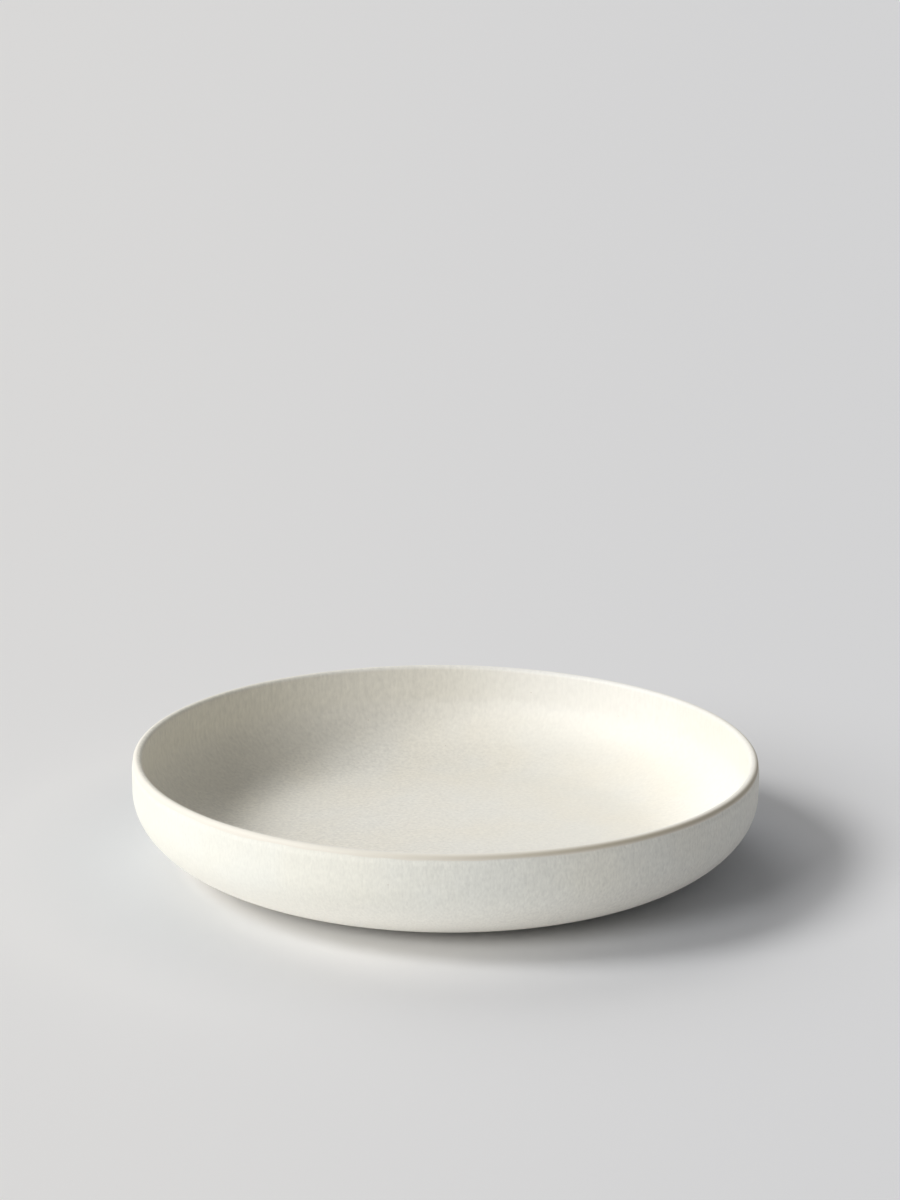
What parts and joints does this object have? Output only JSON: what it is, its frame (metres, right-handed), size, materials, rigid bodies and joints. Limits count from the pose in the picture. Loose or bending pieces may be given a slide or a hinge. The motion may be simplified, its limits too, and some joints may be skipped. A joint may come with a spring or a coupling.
{
  "type": "deep plate",
  "caption": "Round deep plate with a flat well, a wide turn into a short upright wall, a thin rounded rim and a low foot ring, in satin matt glazed stoneware.",
  "frame": {"origin": "on the table under the middle of the foot ring", "axes": "+Z is the plate's turning axis and points up, out of the well; X and Y lie on the table"},
  "size_m": [0.22, 0.22, 0.038],
  "materials": {
    "stoneware": "matte",
    "satin_glaze": "satin"
  },
  "bodies": {
    "root": {"stoneware_body": "stoneware", "inside_glaze": "satin_glaze", "outside_glaze": "satin_glaze", "base_glaze": "satin_glaze"}
  },
  "joints": []
}
